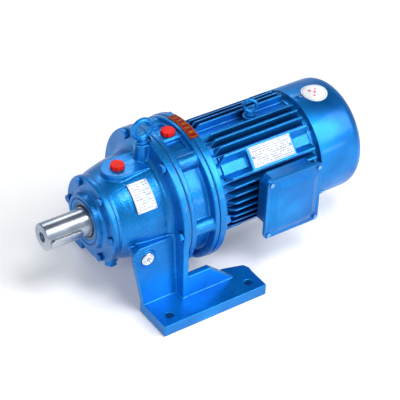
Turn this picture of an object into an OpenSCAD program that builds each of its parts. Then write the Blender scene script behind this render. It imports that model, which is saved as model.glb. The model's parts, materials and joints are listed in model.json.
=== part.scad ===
// Foot-mounted cycloidal gearmotor: a pin-wheel reducer with a finned three-phase motor bolted to it.
// +X points out of the output shaft, +Y to the terminal box, +Z up.
// The origin is the centre of the foot bolt pattern, on the plane the feet stand on.

/* [Feet] */
// Height of the shaft axis above the mounting plane
centre_h = 140; // [138:1:150]
// Length of each foot along the shaft
foot_len = 194; // [190:1:210]
// Width over both feet
foot_width = 324; // [316:1:340]
// Thickness of the feet
foot_t = 20; // [16:1:22]
// Foot bolt spacing along the shaft
bolt_dx = 150; // [140:1:156]
// Foot bolt spacing across the shaft
bolt_dy = 284; // [270:1:290]
// Foot bolt hole diameter
foot_hole_d = 14; // [11:0.5:16]

/* [Output shaft] */
// Diameter of the output shaft
shaft_d = 45; // [42:1:46]
// Length of shaft outside the cover
shaft_ext = 74; // [70:1:90]
// Width of the key
key_w = 14; // [12:1:14]
// Height of the key
key_h = 9; // [8:0.5:9]
// Length of the key
key_len = 56; // [40:1:60]

/* [Gear stage] */
// Number of fixed ring pins, one more than the lobes on a disc
ring_pins_n = 18; // [18:2:18]
// Eccentricity of the discs
ecc = 2.5; // [2:0.1:2.5]
// Radius of the circle of ring pins
ring_r = 84; // [83.8:0.1:84.2]
// Radius of the sleeve on a ring pin
sleeve_r = 7; // [6.8:0.1:7.2]
// Thickness of a disc
disc_t = 13; // [11:0.5:13]
// Running clearance of the disc profile
profile_gap = 0.15; // [0.14:0.01:0.2]
// Radius of the circle of output pins
out_pin_circle_r = 48; // [47:0.5:49]
// Radius of an output pin
out_pin_r = 7; // [6:0.5:7]
// Radius of the roller on an output pin
roller_r = 10; // [9:0.5:10]

/* [Casings] */
// Radius of the base flange
base_flange_r = 118.8; // [118:0.1:120]
// Radius of the motor flange
motor_flange_r = 120.8; // [120:0.1:122]
// Radius of the bolt circle through all flanges
flange_bolt_r = 109.5; // [109:0.1:109.6]
// Radius of the end cover
cover_r = 71.3; // [71:0.1:74]
// Radius of the end cover bolt circle
cover_bolt_r = 62.5; // [61:0.5:63]

/* [Motor] */
// Radius over the cooling fins
fin_r = 95.5; // [94:0.5:98]
// Outer radius of the frame between the fins
frame_r = 82; // [81:0.5:83]
// Thickness of a cooling fin at its root
fin_t = 3.4; // [2.5:0.1:4]
// Radius of the fan cowl
cowl_r = 95; // [94:0.5:96]
// Width of the terminal box along the shaft
box_len = 107; // [104:1:110]
// Height of the terminal box cover
box_h = 114; // [110:1:116]
// Height by which the cover reaches below the body of the terminal box
box_overhang = 16; // [12:1:18]
// Distance of the terminal box cover's raised panel from the shaft axis
box_reach = 130; // [129:1:133]

/* [Hidden] */
$fn = 64;
e0 = 0.01;

// Stations along the shaft, from the shaft's end to the back of the cowl
hub_x = 146;
shaft_end_x = hub_x + shaft_ext;
cover_front_x = 134;
cover_rear_x = 124;
barrel_front_x = 123.2;
base_front_x = 35.5;
base_rear_x = 22.5;
housing_front_x = 21.5;
housing_flange_front_t = 9;
housing_flange_rear_t = 8;
housing_rear_x = -30;
motor_flange_front_x = -31;
motor_flange_rear_x = -43.5;
frame_front_x = -43.5;
fin_front_x = -64;
fin_rear_x = -240;
frame_rear_x = -241;
cowl_front_x = -248;
cowl_rear_x = -339;

// Ball bearings: outer radius, inner radius, width, ball radius
out_brg = [45, 25, 20, 6.35];
pilot_brg = [23.5, 10, 14, 3.97];
motor_brg = [31, 15, 16, 4.76];
front_brg_x = 99;
rear_brg_x = 50;
pilot_brg_x = 32;
drive_brg_x = -60;
fan_brg_x = -257;

// Gear stage stations
disc_a_x = 0;
disc_b_x = -disc_t - 5;
sleeve_front_x = 15;
sleeve_rear_x = -21;
ring_pin_r = 5;
eccentric_r = 19;
ecc_roller_r = 4;
run_gap = 0.05;
seal_seat_r = 24;
ecc_roller_circle_r = eccentric_r + ecc_roller_r + run_gap;
disc_bore_r = eccentric_r + 2 * ecc_roller_r + 2 * run_gap;
out_hole_r = roller_r + ecc + 0.1;
lobes = ring_pins_n - 1;
out_pins_n = 8;
ecc_rollers_n = 12;
rotor_seat_r = 12.5;

// Casing details
side_wall_y = 91;
side_wall_t = 10;
side_wall_lean = 11.5;
ledge_z = -12;
rib_y = 119;
rib_t = 11;
rib_top_z = -80;
pad_top_z = 82;
filler_x = 85;
breather_x = -7;
housing_pad_z = 112;
eyebolt_x = 40.5;
eyebolt_seat_z = 114;
motor_eyebolt_x = -165;
motor_eyebolt_seat_z = 91;
sight_x = 88;
sight_y = 95;
sight_z = -33;
drain_x = 96;
drain_seat_z = -98;
bolt_r = 5;
bolt_hole_r = 5.5;
box_mid_x = -168.5;
box_mid_z = centre_h - 4;
box_back_y = 97;
box_cover_t = 9;
box_panel_t = 5;

cowl_screw_angle = 87;

shell_blue = [0.08, 0.42, 0.86];
steel = [0.72, 0.73, 0.75];

// ---- Helpers: local x, y, z become Y, Z, X about the shaft axis ----
module on_axis(x0 = 0) translate([x0, 0, centre_h]) rotate([90, 0, 90]) children();
module rod(x0, x1, r) on_axis(x0) cylinder(h = x1 - x0, r = r);
module tube(x0, x1, ro, ri) on_axis(x0) linear_extrude(x1 - x0) difference() {
    circle(ro);
    circle(ri);
}
module turned(profile) on_axis() rotate_extrude() polygon(profile);
module around(n, r, start = 0) for (i = [0:n - 1]) rotate([0, 0, start + i * 360 / n])
    translate([r, 0, 0]) children();
module ring_of_rods(x0, x1, n, r, rod_r, start = 0) on_axis(x0) around(n, r, start)
    cylinder(h = x1 - x0, r = rod_r);
module axis_box(x0, x1, y0, y1, z0, z1) translate([x0, y0, centre_h + z0]) cube([x1 - x0, y1 - y0, z1 - z0]);
module both_sides() {
    children();
    mirror([0, 1, 0]) children();
}
module cut_rect(w, h, cut) polygon([[w / 2 - cut, -h / 2], [w / 2, cut - h / 2], [w / 2, h / 2 - cut],
    [w / 2 - cut, h / 2], [cut - w / 2, h / 2], [-w / 2, h / 2 - cut], [-w / 2, cut - h / 2],
        [cut - w / 2, -h / 2]]);
module rounded_rect(w, h, r) {
    square([w - 2 * r, h], center = true);
    square([w, h - 2 * r], center = true);
    for (sx = [-1, 1], sy = [-1, 1]) translate([sx * (w / 2 - r), sy * (h / 2 - r)]) circle(r);
}
// Outline in the XZ plane, extruded from y0 to y1
module side_plate(points, y0, y1) translate([0, y1, centre_h]) rotate([90, 0, 0]) linear_extrude(y1 - y0)
    polygon(points);
module upright(x, z0, z1, r) translate([x, 0, centre_h + z0]) cylinder(h = z1 - z0, r = r);

// ---- Base casting ----
module foot_strip() {
    half = foot_len / 2;
    linear_extrude(foot_t) polygon([[half, foot_width / 2], [-half, foot_width / 2], [-half - 1, 111],
        [-half + 3, 102], [-59, 92], [24, 90], [half, 90]]);
}
// The side walls lean outwards towards the feet
module side_wall() {
    outline = [[24, -centre_h], [96, -centre_h], [97, foot_t - centre_h], [111, -34], [110.4, -24],
        [107.5, -17],
        [102, -13], [98, ledge_z], [24, ledge_z]];
    lean = [[side_wall_y, ledge_z], [side_wall_y + side_wall_lean, -centre_h],
        [side_wall_y + side_wall_lean - side_wall_t, -centre_h], [side_wall_y - side_wall_t, ledge_z]];
    intersection() {
        side_plate(outline, 60, 110);
        on_axis(20) linear_extrude(100) polygon(lean);
    }
    axis_box(26, 98, 60, side_wall_y - 1, ledge_z - 10, ledge_z);
    axis_box(90, 107, 50, side_wall_y - 1, ledge_z - 14, ledge_z - 5);
    translate([sight_x, 64, centre_h + sight_z]) rotate([-90, 0, 0]) cylinder(h = sight_y - 64, r = 14.5);
}
module rear_rib() side_plate([[24, foot_t - 1 - centre_h], [24, rib_top_z], [-15, rib_top_z],
    [-63, foot_t - 1 - centre_h]],
    rib_y - rib_t, rib_y);
module flange_wall() on_axis(25.5) linear_extrude(base_front_x - 25.5) difference() {
    polygon([[-117, 0], [117, 0], [120, -centre_h], [-120, -centre_h]]);
    polygon([[-87, -centre_h - 1], [87, -centre_h - 1], [83.5, -119], [-83.5, -119]]);
}
module base_barrel() turned([[30, barrel_front_x], [71, barrel_front_x], [70, 119], [73.5, 109], [76.8, 97],
    [79.2, 86], [81, 76], [82.8, 60], [84.5, 45], [87, 40], [92, 37], [98, base_front_x],
    [base_flange_r - 1, base_front_x], [base_flange_r, base_front_x - 1], [base_flange_r, base_rear_x],
    [30, base_rear_x]]);
module base_bores() {
    rod(46, barrel_front_x + 1, 40);
    rod(rear_brg_x, barrel_front_x + 1, out_brg[0]);
    rod(rear_brg_x + out_brg[2] + 1, front_brg_x - 1, 52);
    rod(base_rear_x - 1, 47, 70);
    rod(base_rear_x - 1, 27, 86);
    ring_of_rods(20, 40, 6, flange_bolt_r, bolt_hole_r);
    ring_of_rods(110, 125, 6, cover_bolt_r, 4);
    upright(filler_x, 45, 100, 7);
    upright(drain_x, drain_seat_z - 1, -62, 7);
    upright(drain_x - 1, drain_seat_z, -46, 3);
    upright(eyebolt_x, 84, 130, 5);
    upright(eyebolt_x, eyebolt_seat_z, 130, 13.5);
    translate([sight_x, sight_y - 10, centre_h + sight_z]) rotate([-90, 0, 0]) cylinder(h = 14, r = 10);
    translate([sight_x, 40, centre_h + sight_z]) rotate([-90, 0, 0]) cylinder(h = 50, r = 5);
    for (sx = [-1, 1], sy = [-1, 1]) translate([sx * bolt_dx / 2, sy * bolt_dy / 2, -1])
        cylinder(h = foot_t + 2, r = foot_hole_d / 2);
}
module base_housing() color(shell_blue) difference() {
    union() {
        base_barrel();
        flange_wall();
        both_sides() {
            foot_strip();
            side_wall();
            rear_rib();
        }
        axis_box(30, filler_x, -26, 26, 40, pad_top_z);
        upright(filler_x, 40, pad_top_z, 26);
        upright(eyebolt_x, 60, eyebolt_seat_z, 12.7);
        upright(drain_x, drain_seat_z, -60, 12);
    }
    base_bores();
}
module output_end_cover() color(shell_blue) difference() {
    turned([[25.5, 119], [44.9, 119], [44.9, cover_rear_x], [cover_r, cover_rear_x],
        [cover_r, cover_front_x - 2],
        [cover_r - 2, cover_front_x], [51, cover_front_x], [48, 135.5], [46, 138], [45, hub_x - 1],
            [44, hub_x], [31, hub_x], [31, 136], [25.5, 136]]);
    tube(hub_x - 2, hub_x + 1, 39.5, 37);
    tube(hub_x - 1, hub_x + 1, 33, 30);
    rod(118, 123, 38);
    ring_of_rods(120, 136, 6, cover_bolt_r, 4.5);
}
module end_cover_gasket() color([0.2, 0.2, 0.22]) difference() {
    tube(barrel_front_x, cover_rear_x, 70.5, 45);
    ring_of_rods(122, 126, 6, cover_bolt_r, 4.5);
}
module output_oil_seal() color([0.75, 0.76, 0.78])
    turned([[seal_seat_r + run_gap, 140.5], [seal_seat_r + 1, 137],
    [31, 137], [31, 144.5], [28, 144.5], [27.5, 142.5], [26, 142.5], [seal_seat_r + run_gap, 141.5]]);
module hex_bolt(length, shank_r, head_r, head_h) {
    cylinder(h = head_h, r = head_r, $fn = 6);
    translate([0, 0, -length]) cylinder(h = length + e0, r = shank_r);
}
module end_cover_bolts() color(shell_blue) on_axis(cover_front_x) around(6, cover_bolt_r)
    hex_bolt(22, 4, 6.9, 5.4);

// ---- Bearings ----
module bearing_outer(x0, b) {
    pitch = (b[0] + b[1]) / 2;
    race = (b[0] - b[1]) * 0.19;
    color(steel) on_axis(x0) rotate_extrude() difference() {
        translate([pitch + race, 0]) square([b[0] - pitch - race, b[2]]);
        translate([pitch, b[2] / 2]) circle(b[3] + run_gap);
    }
}
module bearing_inner(x0, b) {
    pitch = (b[0] + b[1]) / 2;
    race = (b[0] - b[1]) * 0.19;
    color(steel) on_axis(x0) rotate_extrude() difference() {
        translate([b[1], 0]) square([pitch - race - b[1], b[2]]);
        translate([pitch, b[2] / 2]) circle(b[3] + run_gap);
    }
}
// Balls in a flat cage ring
module bearing_balls(x0, b, n) {
    pitch = (b[0] + b[1]) / 2;
    cage = (b[0] - b[1]) * 0.19 - 0.6;
    color([0.8, 0.8, 0.82]) on_axis(x0 + b[2] / 2) {
        around(n, pitch) sphere(b[3]);
        rotate_extrude() translate([pitch - cage, -0.9]) square([2 * cage, 1.8]);
    }
}
module front_bearing_outer() bearing_outer(front_brg_x, out_brg);
module front_bearing_inner() bearing_inner(front_brg_x, out_brg);
module rear_bearing_outer() bearing_outer(rear_brg_x, out_brg);
module rear_bearing_inner() bearing_inner(rear_brg_x, out_brg);
module output_bearing_balls() {
    bearing_balls(front_brg_x, out_brg, 10);
    bearing_balls(rear_brg_x, out_brg, 10);
}
module pilot_bearing_outer() bearing_outer(pilot_brg_x, pilot_brg);
module pilot_bearing_inner() bearing_inner(pilot_brg_x, pilot_brg);
module pilot_bearing_balls() bearing_balls(pilot_brg_x, pilot_brg, 8);
module drive_bearing_outer() bearing_outer(drive_brg_x, motor_brg);
module drive_bearing_inner() bearing_inner(drive_brg_x, motor_brg);
module fan_bearing_outer() bearing_outer(fan_brg_x, motor_brg);
module fan_bearing_inner() bearing_inner(fan_brg_x, motor_brg);
module motor_bearing_balls() {
    bearing_balls(drive_brg_x, motor_brg, 9);
    bearing_balls(fan_brg_x, motor_brg, 9);
}

// ---- Output shaft group ----
module key_outline(grow = 0) {
    w = key_w + 2 * grow;
    square([w, key_len - key_w], center = true);
    for (s = [-1, 1]) translate([0, s * (key_len - key_w) / 2]) circle(w / 2);
}
module at_key(y0) translate([shaft_end_x - 3 - key_len / 2, y0, centre_h]) rotate([-90, 0, 0])
    rotate([0, 0, 90]) children();
key_seat_y = shaft_d / 2 + 3.8 - key_h;
module output_shaft() color(steel) difference() {
    turned([[0, 31], [64, 31], [64, 44], [62, 46], [31, 46], [out_brg[1], 50], [out_brg[1], 121],
        [seal_seat_r, 121],
        [seal_seat_r, hub_x - 0.5], [shaft_d / 2, hub_x - 0.5], [shaft_d / 2, shaft_end_x - 1.5],
        [shaft_d / 2 - 1.5, shaft_end_x], [0, shaft_end_x]]);
    rod(30, pilot_brg_x + pilot_brg[2], pilot_brg[0]);
    rod(30, 49, 12);
    ring_of_rods(30, 43, out_pins_n, out_pin_circle_r, out_pin_r);
    rod(shaft_end_x - 32, shaft_end_x + 1, 7);
    rod(shaft_end_x - 3, shaft_end_x + 1, 8.5);
    at_key(key_seat_y) linear_extrude(20) key_outline();
}
module output_key() color([0.78, 0.79, 0.8]) at_key(key_seat_y) linear_extrude(key_h) key_outline();
module output_pins() color(steel) ring_of_rods(-18.5, 43, out_pins_n, out_pin_circle_r, out_pin_r);
module output_rollers() color([0.6, 0.61, 0.63]) on_axis(-18) around(out_pins_n, out_pin_circle_r)
    difference() {
    cylinder(h = 48, r = roller_r);
    translate([0, 0, -1]) cylinder(h = 50, r = out_pin_r + run_gap);
}
module disc_spacer_ring() color([0.6, 0.6, 0.6]) tube(disc_b_x + disc_t + 0.3, disc_a_x - 0.3, 37, 31);

// ---- Cycloid discs and their drive ----
// Point of a lobe profile at parameter t, for ring pins on radius rp with sleeves of radius rr
function contact(t, rp, n) = atan2(sin((1 - n) * t), rp / (ecc * n) - cos((1 - n) * t));
function lobe_point(t, rp, rr, n) = [
    rp * cos(t) - rr * cos(t + contact(t, rp, n)) - ecc * cos(n * t),
    -rp * sin(t) + rr * sin(t + contact(t, rp, n)) + ecc * sin(n * t)];
steps = lobes * 20;
module disc_outline() polygon([for (i = [0:steps - 1])
    lobe_point(i * 360 / steps, ring_r, sleeve_r + profile_gap, ring_pins_n)]);
module cycloid_disc() color([0.55, 0.56, 0.6]) translate([ecc, 0, 0]) difference() {
    linear_extrude(disc_t) disc_outline();
    translate([0, 0, -1]) cylinder(h = disc_t + 2, r = disc_bore_r);
    around(out_pins_n, out_pin_circle_r) translate([0, 0, -1]) cylinder(h = disc_t + 2, r = out_hole_r);
}
module cycloid_disc_a() on_axis(disc_a_x) cycloid_disc();
module cycloid_disc_b() on_axis(disc_b_x) rotate([0, 0, 180]) cycloid_disc();
module eccentric_sleeve() color([0.5, 0.5, 0.54]) difference() {
    union() {
        on_axis(disc_a_x) translate([ecc, 0, 0]) cylinder(h = disc_t, r = eccentric_r);
        on_axis(disc_b_x) translate([-ecc, 0, 0]) cylinder(h = disc_t, r = eccentric_r);
        rod(disc_b_x + disc_t - 1, disc_a_x + 1, 16);
    }
    rod(disc_b_x - 1, disc_a_x + disc_t + 1, rotor_seat_r);
}
module eccentric_rollers() color([0.8, 0.8, 0.82]) around(ecc_rollers_n, ecc_roller_circle_r)
    translate([0, 0, 0.5]) cylinder(h = disc_t - 1, r = ecc_roller_r);
module eccentric_rollers_a() on_axis(disc_a_x) translate([ecc, 0, 0]) eccentric_rollers();
module eccentric_rollers_b() on_axis(disc_b_x) translate([-ecc, 0, 0]) eccentric_rollers();
module ring_pins() color(steel)
    ring_of_rods(housing_rear_x + 2.2, housing_front_x - 0.2, ring_pins_n, ring_r, ring_pin_r);
module ring_pin_sleeves() color([0.6, 0.61, 0.63]) on_axis(sleeve_rear_x) around(ring_pins_n, ring_r)
    difference() {
    cylinder(h = sleeve_front_x - sleeve_rear_x, r = sleeve_r);
    translate([0, 0, -1]) cylinder(h = 60, r = ring_pin_r + run_gap);
}

// ---- Pin gear housing and gaskets ----
module housing_body() {
    front = housing_front_x;
    rear = housing_rear_x;
    flange_f = front - housing_flange_front_t;
    flange_r = rear + housing_flange_rear_t;
    turned([[83, front], [base_flange_r, front], [base_flange_r, flange_f + 1], [base_flange_r - 1, flange_f],
        [106, flange_f], [104, flange_f - 2], [104, flange_r + 2], [106, flange_r],
        [motor_flange_r - 2, flange_r], [motor_flange_r - 1, flange_r - 1], [motor_flange_r - 1, rear],
            [83, rear]]);
    on_axis(flange_r - 1) linear_extrude(flange_f - flange_r + 2) {
        around(6, flange_bolt_r - 5.5) circle(14);
        translate([-13, 90]) square([26, housing_pad_z - 90]);
    }
    // Raised saddle over the top, between the two upper bosses
    on_axis(flange_r - 1) rotate([0, 0, 60]) rotate_extrude(angle = 60) translate([100, 0])
        square([10.5, flange_f - flange_r + 2]);
}
// Windows sunk into the saddle on both sides of the breather
module saddle_windows() for (a = [70, 98]) on_axis(-18) rotate([0, 0, a]) rotate_extrude(angle = 12)
    translate([105, 0]) square([10, 27]);
module pin_gear_housing() color(shell_blue) difference() {
    housing_body();
    saddle_windows();
    rod(sleeve_rear_x - 0.5, sleeve_front_x + 0.5, 91.5);
    ring_of_rods(housing_rear_x - 1, housing_front_x + 1, ring_pins_n, ring_r, ring_pin_r + run_gap);
    ring_of_rods(housing_rear_x - 1, housing_front_x + 1, 6, flange_bolt_r, bolt_hole_r);
    upright(breather_x, 80, 120, 7);
}
module gasket(x0, x1, r) color([0.12, 0.13, 0.16]) difference() {
    tube(x0, x1, r, 91);
    ring_of_rods(x0 - 1, x1 + 1, 6, flange_bolt_r, bolt_hole_r);
}
module housing_gasket_front() gasket(housing_front_x, base_rear_x, base_flange_r - 1);
module housing_gasket_rear() gasket(motor_flange_front_x, housing_rear_x, motor_flange_r - 2);

// ---- Motor flange ----
module motor_flange() color(shell_blue) difference() {
    f = motor_flange_front_x;
    r = motor_flange_rear_x;
    turned([[24, f], [70, f], [72, f + 3], [82.9, f + 3], [82.9, f], [motor_flange_r - 1, f],
        [motor_flange_r, f - 1], [motor_flange_r, r + 1], [motor_flange_r - 1, r], [72.4, r], [72.4, -56],
            [66, -56],
        [64, r - 1], [41, r - 1], [38, -62], [motor_brg[0], -62], [motor_brg[0], -44], [18, -44],
            [18, -42], [24, -42]]);
    ring_of_rods(r - 1, f + 1, 6, flange_bolt_r, bolt_hole_r);
}
module input_oil_seal() color([0.15, 0.15, 0.16])
    turned([[15 + run_gap, -37], [16, -33], [24, -33], [24, -41], [16.5, -41]]);
module housing_bolts() color(shell_blue) on_axis(base_front_x) around(6, flange_bolt_r)
    hex_bolt(88, bolt_r, 9.2, 6.4);
module housing_nuts() color(shell_blue) on_axis(motor_flange_rear_x - 8.4) around(6, flange_bolt_r)
    difference() {
    cylinder(h = 8.4, r = 9.2, $fn = 6);
    translate([0, 0, -1]) cylinder(h = 10, r = bolt_r);
}

// ---- Motor frame ----
vertical_fins = [15.5, 28.5, 42, 56];
side_fins = [6.75, 20.25, 33.75, 47.5];
pad_angle = 42.5;
pad_reach = 93;
// Half section of the fins: vertical ones above and below, level ones on both sides
module fin_section() intersection() {
    circle(fin_r);
    union() {
        for (y = vertical_fins, s = [-1, 1]) translate([s * y - fin_t / 2, -100]) square([fin_t, 200]);
        for (z = side_fins, s = [-1, 1]) translate([-100, s * z - fin_t / 2]) square([200, fin_t]);
    }
}
// The fins' front ends rise at an angle
module fin_envelope() turned([[0, fin_front_x], [frame_r, fin_front_x], [fin_r + 2, fin_front_x - 16],
    [fin_r + 2, fin_rear_x], [0, fin_rear_x]]);
module corner_pad(a, x0, x1, reach, half_w) on_axis(x0) rotate([0, 0, a]) translate([60, -half_w, 0])
    cube([reach - 60, 2 * half_w, x1 - x0]);
module motor_frame() color(shell_blue) difference() {
    union() {
        rod(frame_rear_x, frame_front_x, frame_r);
        intersection() {
            on_axis(fin_rear_x) linear_extrude(fin_front_x - fin_rear_x) fin_section();
            fin_envelope();
        }
        for (a = [pad_angle, 180 - pad_angle, 180 + pad_angle, -pad_angle]) {
            corner_pad(a, fin_rear_x, -70, 84.5, 19);
            corner_pad(a, -205, -118, pad_reach, 18);
        }
        upright(motor_eyebolt_x, 70, motor_eyebolt_seat_z, 12);
        axis_box(box_mid_x - 33, box_mid_x + 33, 60, box_back_y, -34, 34);
    }
    for (a = [pad_angle, 180 - pad_angle, 180 + pad_angle, -pad_angle]) on_axis(-205) rotate([0, 0, a])
        translate([pad_reach, -20, 0]) cube([10, 40, 87]);
    rod(frame_rear_x - 1, frame_front_x + 1, 72.5);
    upright(motor_eyebolt_x, 78, 100, 4);
    axis_box(box_mid_x - 24, box_mid_x + 24, 50, box_back_y + 3, -24, 24);
}
module stator_core() color([0.35, 0.36, 0.38]) tube(-205, -95, 72.5, 46.8);
module stator_windings() color([0.72, 0.42, 0.2]) for (x = [[-95, -78], [-222, -205]])
    tube(x[0], x[1], 67, 51);
module rotor_core() color([0.6, 0.62, 0.65]) {
    tube(-205, -95, 46, 20);
    tube(-212, -205, 43, 34);
    tube(-95, -88, 43, 34);
}
module rotor_shaft() color(steel)
    turned([[0, 46.5], [9, 46.5], [10, 45.5], [10, 31], [rotor_seat_r, 31], [rotor_seat_r, -20],
    [15, -20], [15, -62], [20, -62], [20, -238], [15, -238], [15, -258], [11, -258], [11, -303],
        [10, -304], [0, -304]]);

// ---- Fan end ----
module rear_endshield() color(shell_blue) difference() {
    turned([[72.4, -236], [72.4, frame_rear_x], [frame_r + 1, frame_rear_x], [frame_r + 1, cowl_front_x - 1],
        [cowl_r - 2.05, cowl_front_x - 4], [cowl_r - 2.05, -269], [cowl_r - 9, -269], [cowl_r - 10, -254],
        [40, -262], [16.5, -262], [16.5, -258], [motor_brg[0], -258], [motor_brg[0], -240], [38, -240],
        [42, -250], [66, -244], [66, -236]]);
    on_axis(-262) around(3, 0, cowl_screw_angle) rotate([0, 90, 0]) cylinder(h = 100, r = 2.5);
}
module fan() color([0.1, 0.1, 0.12]) {
    tube(-302, -266, 17, 11);
    tube(-276, -272, 76, 16);
    on_axis(-300) for (a = [0:60:300]) rotate([0, 0, a]) translate([15, -1.5, 0]) cube([58, 3, 25]);
}
module fan_cowl() color(shell_blue) difference() {
    on_axis() rotate_extrude() difference() {
        union() {
            translate([0, cowl_rear_x]) square([cowl_r - 22, 91]);
            translate([0, cowl_rear_x + 22]) square([cowl_r, cowl_front_x - cowl_rear_x - 22]);
            translate([cowl_r - 22, cowl_rear_x + 22]) circle(22);
        }
        union() {
            translate([-1, cowl_rear_x + 2]) square([cowl_r - 21, 91]);
            translate([-1, cowl_rear_x + 22]) square([cowl_r + 1 - 2, cowl_front_x - cowl_rear_x]);
            translate([cowl_r - 22, cowl_rear_x + 22]) circle(20);
        }
        translate([-200, -400]) square([200, 400]);
    }
    for (r = [18, 30, 42, 54, 66], q = [0:3]) on_axis(cowl_rear_x - 1) rotate([0, 0, 90 * q + 6])
        rotate_extrude(angle = 78) translate([r, 0]) square([6, 5]);
    on_axis(-262) around(3, 90, cowl_screw_angle) rotate([0, 90, 0]) cylinder(h = 10, r = 2.6);
}
module cowl_screws() color(steel) on_axis(-262) around(3, 0, cowl_screw_angle) rotate([0, 90, 0]) {
    translate([0, 0, cowl_r + 0.3]) cylinder(h = 2.6, r = 5);
    translate([0, 0, 86]) cylinder(h = cowl_r - 85.5, r = 2.5);
}

// ---- Terminal box ----
module at_box(y0) translate([box_mid_x, y0, box_mid_z]) rotate([-90, 0, 0]) children();
box_body_t = box_reach - box_cover_t - 1 - box_back_y;
box_wall = 4.5;
box_flange_t = 3;
body_h = box_h - box_overhang - 3;
body_shift = -(box_overhang - 3) / 2;
body_bottom_z = box_mid_z - body_shift - body_h / 2;
entry_y = box_back_y + 12;
module body_outline(inset) translate([0, body_shift])
    cut_rect(box_len - 8 - 2 * inset, body_h - 2 * inset, 11 - inset / 2);
module box_corners() for (sx = [-1, 1], sz = [-1, 1])
    translate([sx * (box_len / 2 - 7), sz * (box_h / 2 - 7), 0]) children();
module terminal_box() color(shell_blue) difference() {
    union() {
        at_box(box_back_y) linear_extrude(box_body_t) body_outline(0);
        at_box(box_back_y + box_body_t - box_flange_t) linear_extrude(box_flange_t)
            rounded_rect(box_len - 3, box_h - 3, 6);
    }
    at_box(box_back_y + 4) linear_extrude(box_body_t) body_outline(box_wall);
    axis_box(box_mid_x - 24, box_mid_x + 24, box_back_y - 1, box_back_y + 5, -24, 24);
    at_box(box_back_y + box_body_t - box_flange_t - 0.5) box_corners() cylinder(h = 5, r = 2.5);
    for (x = [-24, 24]) translate([box_mid_x + x, entry_y, body_bottom_z - 1]) cylinder(h = 12, r = 7.5);
}
module terminal_box_gasket() color([0.1, 0.1, 0.1]) at_box(box_back_y + box_body_t) linear_extrude(1)
    difference() {
    rounded_rect(box_len - 3, box_h - 3, 6);
    body_outline(box_wall);
    box_corners() circle(2.5);
}
module terminal_box_cover() color(shell_blue) difference() {
    at_box(box_reach - box_cover_t) {
        linear_extrude(box_cover_t - box_panel_t) rounded_rect(box_len, box_h, 7);
        hull() {
            translate([0, 0, box_cover_t - box_panel_t - 0.5]) linear_extrude(0.5)
                cut_rect(box_len - 13, box_h - 13, 13);
            translate([0, 0, box_cover_t - 0.5]) linear_extrude(0.5) cut_rect(box_len - 36, box_h - 36, 7);
        }
    }
    at_box(box_reach - box_cover_t - 1) linear_extrude(3) cut_rect(box_len - 19, box_h - 19, 15);
    at_box(box_reach - box_cover_t - 1) box_corners() cylinder(h = 10, r = 2.6);
}
module box_cover_screws() color(steel) at_box(box_reach - box_cover_t) box_corners() {
    translate([0, 0, box_cover_t - box_panel_t]) cylinder(h = 2.8, r = 3.8);
    translate([0, 0, -3.5]) cylinder(h = box_cover_t - 1, r = 2.5);
}
module terminal_block() color([0.12, 0.12, 0.13]) {
    at_box(box_back_y + 4) translate([-34, 21, 0]) cube([68, 14, 10]);
    for (i = [-1:1], j = [0, 1]) at_box(box_back_y + 13) translate([i * 20, 25 + 6 * j, 0])
        cylinder(h = 5, r = 2.2);
}
module cable_entry_plug() color([0.1, 0.1, 0.11]) translate([box_mid_x + 24, entry_y, body_bottom_z]) {
    translate([0, 0, -3]) cylinder(h = 3, r = 9.2, $fn = 6);
    translate([0, 0, -0.5]) cylinder(h = box_wall + 1, r = 7.5);
}

// ---- Eyebolts, plugs, sight glass, plates ----
module eyebolt(seat, ring_r, wire_r, collar_r, shank_r, depth) translate([0, 0, centre_h + seat]) {
    cylinder(h = 4, r = collar_r);
    translate([0, 0, -depth]) cylinder(h = depth + 1, r = shank_r);
    cylinder(h = 8, r = collar_r * 0.6);
    translate([0, 0, 4 + ring_r + wire_r]) rotate([90, 0, 0]) rotate_extrude() translate([ring_r, 0])
        circle(wire_r);
}
module reducer_eyebolt() color(shell_blue) translate([eyebolt_x, 0, 0])
    eyebolt(eyebolt_seat_z, 15.5, 4.6, 10.5, 4.95, 26);
module motor_eyebolt() color(shell_blue) translate([motor_eyebolt_x, 0, 0]) rotate([0, 0, -30])
    eyebolt(motor_eyebolt_seat_z, 10.4, 3.1, 9, 3.95, 12);
// Plug with a fluted grip: a round head cut by eight hollows
module fluted_plug(head_r, head_h, depth) {
    difference() {
        cylinder(h = head_h, r = head_r);
        around(8, head_r + 1.6) translate([0, 0, -1]) cylinder(h = head_h + 2, r = 3.3);
    }
    translate([0, 0, -depth]) cylinder(h = depth + 1, r = 6.95);
}
module filler_plug() color([0.95, 0.15, 0.1]) translate([filler_x, 0, centre_h + pad_top_z])
    fluted_plug(11.5, 7, 12);
module breather_plug() color([0.95, 0.15, 0.1]) translate([breather_x, 0, centre_h + housing_pad_z])
    fluted_plug(11.5, 7, 10);
module sight_glass() color([0.85, 0.9, 0.95]) translate([sight_x, sight_y - 10, centre_h + sight_z])
    rotate([-90, 0, 0]) {
    cylinder(h = 10.2, r = 9.95);
    translate([0, 0, 10]) difference() {
        cylinder(h = 2.4, r = 10.8);
        translate([0, 0, 0.9]) cylinder(h = 2, r = 7.2);
    }
}
module drain_plug() color([0.1, 0.3, 0.6]) translate([drain_x, 0, centre_h + drain_seat_z]) {
    translate([0, 0, -8]) cylinder(h = 8, r = 11, $fn = 6);
    translate([0, 0, -1]) cylinder(h = 12, r = 6.95);
}
module reducer_nameplate() color([0.92, 0.92, 0.92]) difference() {
    on_axis(57) rotate([0, 0, 29]) rotate_extrude(angle = 34) translate([81, 0]) square([2.6, 34]);
    turned([[0, 50], [84.2, 50], [82.87, 60], [81.07, 76], [79.27, 86], [77.1, 95], [0, 95]]);
}
module motor_nameplate() color([0.92, 0.92, 0.92]) on_axis(-201) rotate([0, 0, pad_angle])
    translate([pad_reach, -17, 0]) cube([0.9, 34, 79]);

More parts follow.
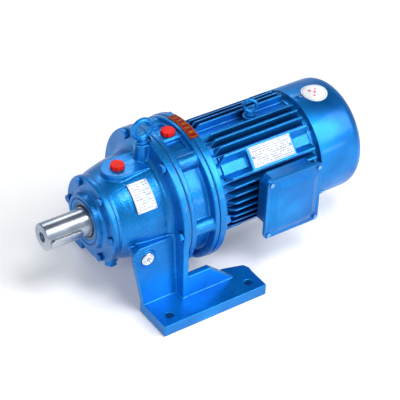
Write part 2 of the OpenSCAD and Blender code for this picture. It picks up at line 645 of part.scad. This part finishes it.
base_housing();
output_end_cover();
end_cover_gasket();
output_oil_seal();
end_cover_bolts();
front_bearing_outer();
front_bearing_inner();
rear_bearing_outer();
rear_bearing_inner();
output_bearing_balls();
output_shaft();
output_key();
output_pins();
output_rollers();
pilot_bearing_outer();
pilot_bearing_inner();
pilot_bearing_balls();
eccentric_sleeve();
eccentric_rollers_a();
eccentric_rollers_b();
cycloid_disc_a();
cycloid_disc_b();
disc_spacer_ring();
ring_pins();
ring_pin_sleeves();
pin_gear_housing();
housing_gasket_front();
housing_gasket_rear();
motor_flange();
input_oil_seal();
housing_bolts();
housing_nuts();
motor_frame();
stator_core();
stator_windings();
rotor_core();
rotor_shaft();
drive_bearing_outer();
drive_bearing_inner();
fan_bearing_outer();
fan_bearing_inner();
motor_bearing_balls();
rear_endshield();
fan();
fan_cowl();
cowl_screws();
terminal_box();
terminal_box_gasket();
terminal_box_cover();
box_cover_screws();
terminal_block();
cable_entry_plug();
reducer_eyebolt();
motor_eyebolt();
filler_plug();
breather_plug();
sight_glass();
drain_plug();
reducer_nameplate();
motor_nameplate();
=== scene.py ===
import json
import math
import random

import bmesh
import bpy
from mathutils import Matrix, Vector


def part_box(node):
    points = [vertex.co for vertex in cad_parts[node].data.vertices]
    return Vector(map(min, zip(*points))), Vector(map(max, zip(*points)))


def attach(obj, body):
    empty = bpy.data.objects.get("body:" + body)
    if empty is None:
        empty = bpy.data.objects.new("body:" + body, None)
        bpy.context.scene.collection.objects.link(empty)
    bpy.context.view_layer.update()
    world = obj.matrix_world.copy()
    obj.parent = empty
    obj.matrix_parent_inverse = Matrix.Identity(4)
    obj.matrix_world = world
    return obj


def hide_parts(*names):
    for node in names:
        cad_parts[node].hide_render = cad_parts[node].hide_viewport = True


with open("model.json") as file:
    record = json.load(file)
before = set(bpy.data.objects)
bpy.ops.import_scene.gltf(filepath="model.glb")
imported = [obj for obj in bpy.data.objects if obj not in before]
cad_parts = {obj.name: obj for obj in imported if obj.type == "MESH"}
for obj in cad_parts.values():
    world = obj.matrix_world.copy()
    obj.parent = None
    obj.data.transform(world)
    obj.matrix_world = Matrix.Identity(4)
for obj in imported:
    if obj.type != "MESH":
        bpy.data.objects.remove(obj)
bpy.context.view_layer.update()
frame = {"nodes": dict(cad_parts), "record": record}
nodes = frame["nodes"]
random.seed(11)

MM = 0.001
shaft_low, shaft_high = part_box("output_shaft")
AXIS_Z = shaft_low.z + (shaft_high.z - shaft_low.z) / 2  # height of the shaft axis, in metres

# ---- Camera: a product shot from the shaft side, looking down over the terminal box ----
CAM_AZIMUTH, CAM_ELEVATION, CAM_ROLL = math.radians(144.345), math.radians(37.845), math.radians(2.639)
CAM_DISTANCE = 2.6726
CAM_LENS, CAM_SENSOR = 147.13, 36.0
CAM_TARGET = Vector((-0.0748, 0.0, 0.0932))
CAM_CLIP_NEAR, CAM_CLIP_FAR = 0.1, 30


def make_camera():
    back = Vector((math.sin(CAM_AZIMUTH) * math.cos(CAM_ELEVATION),
                   -math.cos(CAM_AZIMUTH) * math.cos(CAM_ELEVATION),
                   math.sin(CAM_ELEVATION)))
    right = (-back).cross(Vector((0, 0, 1))).normalized()
    up = back.cross(right)
    side = right * math.cos(CAM_ROLL) + up * math.sin(CAM_ROLL)
    top = up * math.cos(CAM_ROLL) - right * math.sin(CAM_ROLL)
    data = bpy.data.cameras.new("camera")
    data.lens, data.sensor_width = CAM_LENS, CAM_SENSOR
    data.clip_start, data.clip_end = CAM_CLIP_NEAR, CAM_CLIP_FAR
    cam = bpy.data.objects.new("camera", data)
    spot = CAM_TARGET + back * CAM_DISTANCE
    turn = Matrix((side, top, back)).transposed()
    cam.matrix_world = Matrix.Translation(spot) @ turn.to_4x4()
    bpy.context.scene.collection.objects.link(cam)
    bpy.context.scene.camera = cam


# ---- Materials ----
def new_material(name):
    mat = bpy.data.materials.new(name)
    mat.use_nodes = True
    tree = mat.node_tree
    return mat, tree, tree.nodes["Principled BSDF"]


def set_uniform(shader, **values):
    for key, value in values.items():
        shader.inputs[key.replace("_", " ")].default_value = value


def noise(tree, scale, detail, rough=0.55, stretch=None):
    """A noise value over the object, at `scale` cells per metre, or `stretch` times that on each axis."""
    tex = tree.nodes.new("ShaderNodeTexNoise")
    tex.inputs["Scale"].default_value = scale
    tex.inputs["Detail"].default_value = detail
    tex.inputs["Roughness"].default_value = rough
    coord = tree.nodes.new("ShaderNodeTexCoord")
    if stretch:
        mapping = tree.nodes.new("ShaderNodeMapping")
        mapping.inputs["Scale"].default_value = stretch
        tree.links.new(coord.outputs["Object"], mapping.inputs["Vector"])
        tree.links.new(mapping.outputs["Vector"], tex.inputs["Vector"])
    else:
        tree.links.new(coord.outputs["Object"], tex.inputs["Vector"])
    return tex.outputs["Fac"]


def ramp(tree, source, stops):
    """Colours `source` by `stops`, a list of (position, colour)."""
    node = tree.nodes.new("ShaderNodeValToRGB")
    for element, (place, colour) in zip(node.color_ramp.elements, (stops[0], stops[-1])):
        element.position, element.color = place, (*colour, 1)
    for place, colour in stops[1:-1]:
        node.color_ramp.elements.new(place).color = (*colour, 1)
    tree.links.new(source, node.inputs["Fac"])
    return node.outputs["Color"]


def map_range(tree, source, from_low, from_high, to_low=0.0, to_high=1.0):
    node = tree.nodes.new("ShaderNodeMapRange")
    node.inputs["From Min"].default_value, node.inputs["From Max"].default_value = from_low, from_high
    node.inputs["To Min"].default_value, node.inputs["To Max"].default_value = to_low, to_high
    tree.links.new(source, node.inputs["Value"])
    return node.outputs["Result"]


def span(tree, source, low, high):
    """Stretches a noise, which stays near its middle, over low..high."""
    return map_range(tree, source, 0.3, 0.7, low, high)


def bump(tree, source, strength, distance, after=None):
    node = tree.nodes.new("ShaderNodeBump")
    node.inputs["Strength"].default_value = strength
    node.inputs["Distance"].default_value = distance
    tree.links.new(source, node.inputs["Height"])
    if after:
        tree.links.new(after, node.inputs["Normal"])
    return node.outputs["Normal"]


def mix_colour(tree, fac, a, b):
    """From a to b by the socket `fac`; a and b are each a colour or a socket."""
    node = tree.nodes.new("ShaderNodeMix")
    node.data_type = "RGBA"
    tree.links.new(fac, [s for s in node.inputs if s.name == "Factor"][0])
    for socket, value in (("A", a), ("B", b)):
        target = [s for s in node.inputs if s.name == socket and s.type == "RGBA"][0]
        if isinstance(value, bpy.types.NodeSocket):
            tree.links.new(value, target)
        else:
            target.default_value = (*value, 1)
    return [s for s in node.outputs if s.type == "RGBA"][0]


def edge_highlight_mask(tree):
    """Painted highlight: bright on convex edges, from the mesh's own pointiness."""
    geo = tree.nodes.new("ShaderNodeNewGeometry")
    return map_range(tree, geo.outputs["Pointiness"], 0.52, 0.6)


def painted_shade_mask(tree, reach):
    """Painted shade: darker where the paint lies in a gap narrower than `reach` metres."""
    node = tree.nodes.new("ShaderNodeAmbientOcclusion")
    node.inputs["Distance"].default_value = reach
    node.samples = 8
    return map_range(tree, node.outputs["AO"], 0.25, 0.85)


BLUE_DEEP, BLUE_MID, BLUE_PALE = (0.0, 0.1, 0.38), (0.001, 0.165, 0.53), (0.006, 0.31, 0.78)
# BLUE_SHADE is the colour of the painted shade in crevices.
BLUE_SHADE = (0.0, 0.04, 0.2)
GAP = 0.004      # reach of the painted shade in crevices round bolts and flanges, in metres
FIN_GAP = 0.02   # and between the motor's fins


# Grain size, share of the pale blue in the grain, roughness, and heights of waves, pits and grain.
CAST = {"grain": 420, "pale": 0.45, "rough": 0.29, "waves": 0.14, "pits": 0.24, "grain_bump": 0.8}
SHEET = {"grain": 600, "pale": 0.08, "rough": 0.34, "waves": 0.02, "pits": 0.0, "grain_bump": 0.06}


def paint(name, ground, shade_reach):
    """Glossy blue enamel over iron: on a CAST ground it shows a soft orange peel, SHEET is smoother. Its
    colour carries a painted highlight on convex edges and painted shade in crevices.
    """
    mat, tree, shader = new_material(name)
    tone = noise(tree, 9, 3)
    colour = ramp(tree, tone, [(0.3, BLUE_DEEP), (0.5, BLUE_MID), (0.75, BLUE_PALE)])
    grain = noise(tree, ground["grain"], 2)
    colour = mix_colour(tree, span(tree, grain, 0.0, ground["pale"]), colour, BLUE_PALE)
    # Painted highlight: convex edges are mixed towards the pale blue.
    colour = mix_colour(tree, edge_highlight_mask(tree), colour, BLUE_PALE)
    # Painted shade: crevices are mixed towards BLUE_SHADE.
    colour = mix_colour(tree, painted_shade_mask(tree, shade_reach), BLUE_SHADE, colour)
    tree.links.new(colour, shader.inputs["Base Color"])
    pits = noise(tree, 190, 3, 0.6)
    waves = noise(tree, 60, 3)
    rough = ground["rough"]
    tree.links.new(span(tree, waves, rough, rough + 0.12), shader.inputs["Roughness"])
    normal = bump(tree, waves, ground["waves"], 0.001)
    normal = bump(tree, pits, ground["pits"], 0.0008, normal)
    normal = bump(tree, grain, ground["grain_bump"], 0.0006, normal)
    tree.links.new(normal, shader.inputs["Normal"])
    set_uniform(shader, Metallic=0.72, Specular_IOR_Level=0.35, Coat_Weight=0.18, Coat_Roughness=0.12)
    return mat


def metal(name, colour, rough, lines=(300, 300, 300), wear=0.04, spread=0.14):
    """Bare metal: streaks of `wear` deep, with `lines` noise cells per metre along each axis."""
    mat, tree, shader = new_material(name)
    streak = noise(tree, 1, 3, 0.6, lines)
    smudge = noise(tree, 30, 4)
    pale = tuple(min(1, c + 0.08) for c in colour)
    dark = tuple(max(0, c - 0.12) for c in colour)
    tree.links.new(ramp(tree, smudge, [(0.3, dark), (0.7, pale)]), shader.inputs["Base Color"])
    tree.links.new(span(tree, streak, rough, rough + spread), shader.inputs["Roughness"])
    tree.links.new(bump(tree, streak, wear, 0.0002), shader.inputs["Normal"])
    set_uniform(shader, Metallic=1.0)
    return mat


def plastic(name, colour, rough, grain=300, gloss=0.5):
    """Moulded or printed surface with a fine grain."""
    mat, tree, shader = new_material(name)
    fine = noise(tree, grain, 3)
    tone = noise(tree, 25, 3)
    dark = tuple(c * 0.8 for c in colour)
    pale = tuple(min(1, c * 1.12 + 0.01) for c in colour)
    tree.links.new(ramp(tree, tone, [(0.3, dark), (0.7, pale)]), shader.inputs["Base Color"])
    tree.links.new(span(tree, fine, rough, rough + 0.12), shader.inputs["Roughness"])
    tree.links.new(bump(tree, fine, 0.08, 0.0003), shader.inputs["Normal"])
    set_uniform(shader, Specular_IOR_Level=gloss)
    return mat


def glass(name):
    """A lens and the bright backing behind it, as one shiny surface."""
    mat, tree, shader = new_material(name)
    film = noise(tree, 60, 3)
    tint = ramp(tree, film, [(0.3, (0.55, 0.6, 0.64)), (0.7, (0.85, 0.88, 0.9))])
    tree.links.new(tint, shader.inputs["Base Color"])
    tree.links.new(span(tree, film, 0.05, 0.15), shader.inputs["Roughness"])
    set_uniform(shader, Metallic=0.5, Coat_Weight=1.0, Coat_Roughness=0.03)
    return mat


MATERIALS = {
    "casing_paint": paint("cast_paint", CAST, GAP),
    "painted_fastener": paint("fastener_paint", SHEET, GAP),
    "gasket": plastic("gasket", (0.012, 0.03, 0.08), 0.6),
    "seal_steel": metal("seal_steel", (0.16, 0.24, 0.36), 0.3),
    "seal_rubber": plastic("seal_rubber", (0.02, 0.02, 0.02), 0.5),
    "bearing_steel": metal("bearing_steel", (0.75, 0.76, 0.78), 0.12),
    "shaft_steel": metal("shaft_steel", (0.38, 0.43, 0.51), 0.3, (2600, 20, 20), 0.003, 0.04),
    "key_steel": metal("key_steel", (0.42, 0.45, 0.5), 0.2, (30, 600, 600)),
    "gear_steel": metal("gear_steel", (0.45, 0.46, 0.5), 0.22),
    "lamination": metal("lamination", (0.3, 0.31, 0.33), 0.4, (2500, 5, 5), 0.3),
    "winding": metal("winding", (0.7, 0.3, 0.12), 0.35, (5, 900, 900), 0.3),
    "fan_plastic": plastic("fan_plastic", (0.015, 0.015, 0.018), 0.5),
    "screw_steel": metal("screw_steel", (0.15, 0.4, 0.75), 0.3),
    "black_plastic": plastic("black_plastic", (0.015, 0.015, 0.015), 0.4),
    "red_plastic": plastic("red_plastic", (0.75, 0.008, 0.003), 0.4, gloss=0.2),
    "sight_glass": glass("sight_glass"),
    "label": plastic("label", (0.72, 0.75, 0.77), 0.4, gloss=0.3),
}
SHEET_PAINT = paint("sheet_paint", SHEET, GAP)
# The motor frame's copy of the cast paint, with its painted shade reaching across the gaps between the
# fins.
FRAME_PAINT = paint("frame_paint", CAST, FIN_GAP)
slot_of = {s["node"]: s["material_slot"] for s in frame["record"]["subparts"]}
for name, node in nodes.items():
    node.data.materials.clear()
    node.data.materials.append(MATERIALS[slot_of[name]])
for name in ("fan_cowl", "terminal_box", "terminal_box_cover"):
    nodes[name].data.materials[0] = SHEET_PAINT


# ---- Castings: the CAD shapes with the rounded edges and fillets of a sand casting ----
def apply_modifiers(obj):
    graph = bpy.context.evaluated_depsgraph_get()
    mesh = bpy.data.meshes.new_from_object(obj.evaluated_get(graph))
    old = obj.data
    obj.modifiers.clear()
    obj.data = mesh
    bpy.data.meshes.remove(old)


def replacement(node_name, suffix):
    """A loose copy of a CAD node, to be worked on."""
    obj = bpy.data.objects.new(node_name + suffix, nodes[node_name].data.copy())
    bpy.context.scene.collection.objects.link(obj)
    return obj


def hand_over(obj, node_name, body, material):
    """Lets a finished copy stand in for its CAD node."""
    obj.data.materials.clear()
    obj.data.materials.append(material or MATERIALS[slot_of[node_name]])
    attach(obj, body)
    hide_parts(node_name)


def soften(node_name, voxel, rounds, keep, material=None):
    """A remeshed and smoothed stand-in for a casting: edges round off and corners fill."""
    obj = replacement(node_name, "_cast")
    remesh = obj.modifiers.new("remesh", "REMESH")
    remesh.mode, remesh.voxel_size = "VOXEL", voxel * MM
    smooth = obj.modifiers.new("smooth", "SMOOTH")
    smooth.factor, smooth.iterations = 0.5, rounds
    thin = obj.modifiers.new("thin", "DECIMATE")
    thin.ratio = keep
    apply_modifiers(obj)
    obj.data.shade_smooth()
    hand_over(obj, node_name, "casing", material)


WELD = 0.002 * MM          # points closer than this are one
FLAT = math.radians(0.6)   # faces that meet flatter than this are one
SHARP_MARGIN = 5           # degrees by which a sharp edge exceeds the bevelled ones


def crisp(node_name, width, body, material=None, angle=35):
    """A stand-in for a machined or pressed piece: round faces smooth, edges over `angle` broken."""
    obj = replacement(node_name, "_fine")
    work = bmesh.new()
    work.from_mesh(obj.data)
    bmesh.ops.remove_doubles(work, verts=work.verts, dist=WELD)
    bmesh.ops.dissolve_limit(work, angle_limit=FLAT, verts=work.verts, edges=work.edges)
    work.to_mesh(obj.data)
    work.free()
    edge = obj.modifiers.new("edge", "BEVEL")
    edge.width, edge.segments = width * MM, 2
    edge.limit_method, edge.angle_limit = "ANGLE", math.radians(angle)
    apply_modifiers(obj)
    obj.data.shade_smooth()
    obj.data.set_sharp_from_angle(angle=math.radians(angle + SHARP_MARGIN))
    hand_over(obj, node_name, body, material)


# Node, size of the remesh's cells in mm, rounds of smoothing, share of the faces that is kept.
CASTINGS = [
    ("base_housing", 1.1, 3, 0.3), ("pin_gear_housing", 0.9, 3, 0.3), ("output_end_cover", 0.7, 2, 0.35),
    ("motor_flange", 1.0, 2, 0.3), ("motor_frame", 0.9, 2, 0.3), ("reducer_eyebolt", 0.6, 3, 0.6),
    ("motor_eyebolt", 0.5, 3, 0.6), ("end_cover_bolts", 0.5, 2, 0.5), ("housing_bolts", 0.6, 2, 0.4),
    ("housing_nuts", 0.5, 2, 0.5), ("drain_plug", 0.5, 2, 0.5), ("filler_plug", 0.4, 2, 0.5),
    ("breather_plug", 0.4, 2, 0.5), ("cowl_screws", 0.4, 2, 0.6), ("box_cover_screws", 0.4, 2, 0.6),
]
for node_name, voxel, rounds, keep in CASTINGS:
    soften(node_name, voxel, rounds, keep, FRAME_PAINT if node_name == "motor_frame" else None)
COVER_ANGLE = 12  # the cover's cut corners and its raised panel meet at shallow angles
crisp("fan_cowl", 0.5, "casing", SHEET_PAINT)
crisp("terminal_box", 1.2, "casing", SHEET_PAINT)
crisp("terminal_box_cover", 1.0, "casing", SHEET_PAINT, COVER_ANGLE)
crisp("rear_endshield", 0.5, "casing")
crisp("output_shaft", 0.4, "output")
crisp("output_key", 0.5, "output")


# ---- Turned and printed details, all on the casing; their sizes are in mm ----
def add_piece(name, work, material, smooth=True):
    mesh = bpy.data.meshes.new(name)
    bmesh.ops.recalc_face_normals(work, faces=work.faces)
    work.to_mesh(mesh)
    work.free()
    mesh.materials.append(material)
    if smooth:
        mesh.shade_smooth()
        mesh.set_sharp_from_angle(angle=math.radians(40))
    obj = bpy.data.objects.new(name, mesh)
    bpy.context.scene.collection.objects.link(obj)
    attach(obj, "casing")
    return obj


def lathe(work, profile, place, sides=96):
    """Turns a closed profile of (radius, height) about local Z, then puts it at `place`."""
    rings = []
    for k in range(sides):
        a = 2 * math.pi * k / sides
        points = [Vector((r * math.cos(a) * MM, r * math.sin(a) * MM, h * MM)) for r, h in profile]
        rings.append([work.verts.new(place @ point) for point in points])
    for k in range(sides):
        a, b = rings[k], rings[(k + 1) % sides]
        for m in range(len(profile)):
            n = (m + 1) % len(profile)
            work.faces.new((a[m], b[m], b[n], a[n]))


# Local Z along the output shaft, with its zero over the origin.
SHAFT_AXIS = (Matrix.Translation((0, 0, AXIS_Z))
              @ Matrix(((0, 0, 1, 0), (1, 0, 0, 0), (0, 1, 0, 0), (0, 0, 0, 1))))
# Local Z towards the terminal box's side.
SIDE_AXIS = Matrix(((1, 0, 0, 0), (0, 0, 1, 0), (0, -1, 0, 0), (0, 0, 0, 1)))
CORE = 0.01    # radius at which a turned solid's profile ends, just off its axis
PRINT = 0.06   # thickness of printed strokes


def on_round(x, angle, radius):
    """Frame on a cylinder about the shaft: X back along the shaft, Y up the curve, Z outwards."""
    a = math.radians(angle)
    out = Vector((0, math.cos(a), math.sin(a)))
    along = Vector((-1, 0, 0))
    up = out.cross(along)
    turn = Matrix((along, up, out)).transposed().to_4x4()
    return Matrix.Translation(Vector((x * MM, 0, AXIS_Z)) + out * radius * MM) @ turn


def bent_patch(work, x0, x1, a0, a1, radius, thick, steps):
    """A thin plate bent round the shaft axis, from x0 to x1 and from angle a0 to a1."""
    rear, fore = [], []
    for x, line in ((x0, rear), (x1, fore)):
        for j in range(steps + 1):
            a = math.radians(a0 + (a1 - a0) * j / steps)
            line.append([work.verts.new((x * MM, r * MM * math.cos(a), AXIS_Z + r * MM * math.sin(a)))
                         for r in (radius, radius + thick)])
    for j in range(steps):
        for k in (0, 1):
            work.faces.new([rear[j][k], fore[j][k], fore[j + 1][k], rear[j + 1][k]])
    for j in (0, steps):
        work.faces.new([rear[j][0], fore[j][0], fore[j][1], rear[j][1]])
    for j in range(steps):
        for line in (rear, fore):
            work.faces.new([line[j][0], line[j + 1][0], line[j + 1][1], line[j][1]])


def block(work, place, x0, x1, y0, y1, z0, z1):
    corner = [work.verts.new(place @ Vector((x * MM, y * MM, z * MM)))
              for x in (x0, x1) for y in (y0, y1) for z in (z0, z1)]
    for f in ((0, 1, 3, 2), (4, 6, 7, 5), (0, 4, 5, 1), (2, 3, 7, 6), (0, 2, 6, 4), (1, 5, 7, 3)):
        work.faces.new([corner[k] for k in f])


def make_seal():
    """Pressed steel case with a rubber lip on the shaft."""
    lo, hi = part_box("output_oil_seal")
    front, outer = hi.x / MM, (hi.y - lo.y) / 2 / MM
    edge, sides = 0.6, 128
    case_profile = [(27.4, front - 7), (outer, front - 7), (outer, front - edge), (outer - edge, front),
                    (28.2, front), (27.6, front - 0.5)]
    lip_profile = [(24.15, front - 3.2), (24.6, front - 6), (27.3, front - 6), (27.3, front - 1.4),
                   (26, front - 1.8), (24.8, front - 2.6)]
    work = bmesh.new()
    lathe(work, case_profile, SHAFT_AXIS, sides)
    case = add_piece("seal_case", work, MATERIALS["seal_steel"])
    work = bmesh.new()
    lathe(work, lip_profile, SHAFT_AXIS, sides)
    add_piece("seal_lip", work, MATERIALS["seal_rubber"])
    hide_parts("output_oil_seal")


def make_sight_glass():
    """A bright metal ring, a domed lens and the level mark behind it."""
    lo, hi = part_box("sight_glass")
    middle = Vector(((lo.x + hi.x) / 2, lo.y, (lo.z + hi.z) / 2))
    place = Matrix.Translation(middle) @ SIDE_AXIS
    top = (hi.y - lo.y) / MM
    ring_profile = [(7.2, top - 3), (9.9, 0), (9.9, top - 2.4), (10.8, top - 2.2), (10.8, top - 0.6),
                    (10.2, top), (8.2, top), (7.4, top - 0.8)]
    lens_profile = [(CORE, top - 2.6), (7.3, top - 2.6), (7.3, top - 1.6), (6.2, top - 1.1),
                    (4, top - 0.8), (CORE, top - 0.6)]
    mark_profile = [(1.1, top - 0.75), (2.1, top - 0.75), (2.1, top - 0.55), (1.1, top - 0.55)]
    work = bmesh.new()
    lathe(work, ring_profile, place)
    ring = add_piece("sight_glass_ring", work, MATERIALS["bearing_steel"])
    work = bmesh.new()
    lathe(work, lens_profile, place)
    add_piece("sight_glass_lens", work, MATERIALS["sight_glass"])
    work = bmesh.new()
    lathe(work, mark_profile, place, 32)
    block(work, place, -4.6, -2.4, -0.6, 0.6, top - 0.8, top - 0.62)
    add_piece("sight_glass_mark", work, MATERIALS["black_plastic"])
    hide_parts("sight_glass")


def printed_rows(work, place, width, height, rows, low, high):
    """Rows of short blank strokes that stand for a plate's engraved fields."""
    pitch = height / rows
    half_stroke = pitch * 0.16
    for row in range(rows):
        y = height / 2 - (row + 0.5) * pitch
        x = -width / 2
        while x < width / 2 - 1.5:
            end = min(x + random.uniform(1.2, 4.5), width / 2)
            if random.random() < 0.8:
                block(work, place, x, end, y - half_stroke, y + half_stroke, low, high)
            x = end + random.uniform(0.7, 1.8)


def rivet(work, place, r, h):
    sunk = -0.3
    profile = [(CORE, sunk), (r, sunk), (r, h * 0.35), (r * 0.8, h * 0.75), (r * 0.4, h), (CORE, h)]
    lathe(work, profile, place, 24)


def make_motor_plate():
    """Rows of strokes in a frame, and two rivets, on the flat plate of the motor."""
    half_width, half_height, half_line = 38, 15.4, 0.25  # of the printed frame and its lines
    half_plate, low = 0.45, 0.02  # half the plate's thickness, and the print's height over its face
    lo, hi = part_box("motor_nameplate")
    middle = (lo + hi) / 2
    angle = math.degrees(math.atan2(middle.z - AXIS_Z, middle.y))
    reach = math.hypot(middle.y, middle.z - AXIS_Z) / MM + half_plate
    place = on_round(middle.x / MM, angle, reach)
    high = low + PRINT
    work = bmesh.new()
    printed_rows(work, place, 70, 29, 8, low, high)
    for y in (-half_height, half_height):
        block(work, place, -half_width, half_width, y - half_line, y + half_line, low, high)
    for x in (-half_width, half_width):
        block(work, place, x - half_line, x + half_line, -half_height, half_height, low, high)
    add_piece("motor_plate_print", work, INK, False)
    work = bmesh.new()
    for x in (-36.2, 36.2):
        rivet(work, place @ Matrix.Translation((x * MM, 0, 0)), 2.1, 1.3)
    add_piece("motor_plate_rivets", work, MATERIALS["screw_steel"])


def make_reducer_plate():
    """Rows of strokes and four rivets on the plate that is bent round the barrel."""
    plate_r, lift = 83.5, 0.12
    rows, half_stroke = 11, 0.35  # the strokes' half height in degrees
    lo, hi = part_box("reducer_nameplate")
    a0, a1, x0, x1 = 29.0, 63.0, lo.x / MM, hi.x / MM
    work = bmesh.new()
    for row in range(rows):
        a = a0 + 3.2 + row * (a1 - a0 - 6) / (rows - 1)
        x = x0 + 3
        while x < x1 - 4:
            end = min(x + random.uniform(1.2, 4.4), x1 - 3)
            if random.random() < 0.7:
                bent_patch(work, x, end, a - half_stroke, a + half_stroke, plate_r + lift, PRINT, 2)
            x = end + random.uniform(0.8, 2.2)
    add_piece("reducer_plate_print", work, INK, False)
    work = bmesh.new()
    for x in (x0 + 2, x1 - 2):
        for a in (a0 + 1.3, a1 - 1.3):
            rivet(work, on_round(x, a, plate_r), 1.3, 0.8)
    add_piece("reducer_plate_rivets", work, MATERIALS["screw_steel"])


def make_rim_label():
    """A dark red label bent over the motor flange's rim, with a gold frame and blank gold marks."""
    rim_r, label_t = 120.9, 0.25
    print_r = rim_r + label_t
    work = bmesh.new()
    bent_patch(work, -42, -26.5, 73, 105, rim_r, label_t, 40)
    add_piece("rim_label", work, RIM_RED)
    work = bmesh.new()
    for a in (74, 103.6):
        bent_patch(work, -41.2, -27.3, a, a + 0.25, print_r, PRINT, 2)
    for x in (-41.4, -27.7):
        bent_patch(work, x, x + 0.4, 74, 103.8, print_r, PRINT, 40)
    for k in range(5):
        a = 77.5 + k * 5.2
        for x, length in ((-38.2, 0.8), (-35.4, 1.2), (-32.2, 0.8)):
            bent_patch(work, x, x + length, a + random.uniform(0, 0.6), a + 2.6, print_r, PRINT, 3)
    add_piece("rim_label_print", work, GOLD, False)


def make_cowl_sticker():
    """A round inspection sticker bent over the cowl, with blank red marks."""
    lo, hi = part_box("fan_cowl")
    sticker_r, sticker_t, mark_t, clear, pinhole = 22, 0.2, 0.07, 0.08, 0.05
    radius = (hi.y - lo.y) / 2 / MM + clear
    x_mid, a_mid = -290.0, math.radians(86)

    def at(u, v, lift):
        """The point u forward along the cowl and v round it from the sticker's middle."""
        a = a_mid + v / radius
        r = (radius + lift) * MM
        return ((x_mid + u) * MM, r * math.cos(a), AXIS_Z + r * math.sin(a))

    def disc(work, u0, v0, inner, outer, low, high, sides=48, rings=4):
        radii = [inner + (outer - inner) * m / rings for m in range(rings + 1)]
        lines = []
        for k in range(sides):
            t = 2 * math.pi * k / sides
            lines.append([[work.verts.new(at(u0 + r * math.cos(t), v0 + r * math.sin(t), lift))
                           for lift in (low, high)] for r in radii])
        for k in range(sides):
            a, b = lines[k], lines[(k + 1) % sides]
            for m in range(rings):
                for side in (0, 1):
                    work.faces.new([a[m][side], b[m][side], b[m + 1][side], a[m + 1][side]])
            for m in (0, rings):
                work.faces.new([a[m][0], b[m][0], b[m][1], a[m][1]])

    work = bmesh.new()
    disc(work, 0, 0, pinhole, sticker_r, 0.0, sticker_t)
    add_piece("cowl_sticker", work, MATERIALS["label"])
    work = bmesh.new()
    disc(work, 0, 0, 19.4, 19.9, sticker_t, sticker_t + PRINT)
    add_piece("cowl_sticker_ring", work, INK, False)
    work = bmesh.new()
    for u, v, r in ((-6, 6, 1.9), (5, 6.5, 2.9), (-1, 0, 2.4), (4.5, -7, 2.1)):
        disc(work, u, v, pinhole, r, sticker_t, sticker_t + mark_t, 16, 1)
    add_piece("cowl_sticker_marks", work, STICKER_RED, False)


INK = plastic("ink", (0.12, 0.17, 0.3), 0.5)
RIM_RED = plastic("rim_label_red", (0.2, 0.003, 0.003), 0.45, grain=90, gloss=0.1)
GOLD = plastic("rim_label_gold", (0.5, 0.24, 0.015), 0.45, gloss=0.1)
STICKER_RED = plastic("sticker_red", (0.75, 0.12, 0.25), 0.4)
make_seal()
make_sight_glass()
make_motor_plate()
make_reducer_plate()
make_rim_label()
make_cowl_sticker()


# ---- Stage: pale floor and soft studio light; sizes are in metres ----
FLOOR_HALF, FLOOR_DROP = 12, 0.0005


def make_stage():
    mat, tree, shader = new_material("floor")
    tone = ramp(tree, noise(tree, 3, 3), [(0.3, (0.93, 0.93, 0.935)), (0.7, (0.96, 0.96, 0.965))])
    tree.links.new(tone, shader.inputs["Base Color"])
    set_uniform(shader, Roughness=0.85, Emission_Color=(1, 1, 1, 1), Emission_Strength=0.1)
    mesh = bpy.data.meshes.new("floor")
    corners = [(x * FLOOR_HALF, y * FLOOR_HALF, 0) for x, y in ((-1, -1), (1, -1), (1, 1), (-1, 1))]
    mesh.from_pydata(corners, [], [(0, 1, 2, 3)])
    mesh.materials.append(mat)
    floor = bpy.data.objects.new("floor", mesh)
    floor.location.z = -FLOOR_DROP
    bpy.context.scene.collection.objects.link(floor)


# Name, place, width and height, power in watts. All point at LIGHT_AIM.
LIGHTS = [
    ("key", (-1.2, 1.6, 1.75), (1.6, 1.6), 45),
    ("side", (-1.1, 2.3, 0.38), (0.8, 0.25), 5),
    ("front", (2.0, 0.9, 1.3), (1.0, 1.0), 17),
    ("rim", (-0.3, -1.6, 1.8), (1.6, 0.4), 14),
    ("top", (0.0, 1.1, 2.3), (0.7, 0.7), 24),
]
LIGHT_AIM = Vector((-0.05, 0, 0.12))
SKY_STRENGTH = 0.58
# Colour of the sky by height: white at the horizon, dark overhead.
SKY = [(0.0, (1.0, 1.0, 1.0)), (0.35, (0.8, 0.82, 0.85)), (0.75, (0.12, 0.13, 0.15))]


def area_light(name, spot, size, power):
    data = bpy.data.lights.new(name, "AREA")
    data.shape, data.size, data.size_y = "RECTANGLE", size[0], size[1]
    data.energy = power
    lamp = bpy.data.objects.new(name, data)
    lamp.location = spot
    lamp.rotation_euler = (LIGHT_AIM - Vector(spot)).to_track_quat("-Z", "Y").to_euler()
    bpy.context.scene.collection.objects.link(lamp)


def make_lights():
    world = bpy.data.worlds.new("studio")
    bpy.context.scene.world = world
    world.use_nodes = True
    tree = world.node_tree
    back = tree.nodes["Background"]
    coord = tree.nodes.new("ShaderNodeTexCoord")
    split = tree.nodes.new("ShaderNodeSeparateXYZ")
    tree.links.new(coord.outputs["Generated"], split.inputs["Vector"])
    tree.links.new(ramp(tree, split.outputs["Z"], SKY), back.inputs["Color"])
    back.inputs["Strength"].default_value = SKY_STRENGTH
    for light in LIGHTS:
        area_light(*light)
    bpy.context.scene.view_settings.view_transform = "Standard"


make_camera()
make_stage()
make_lights()
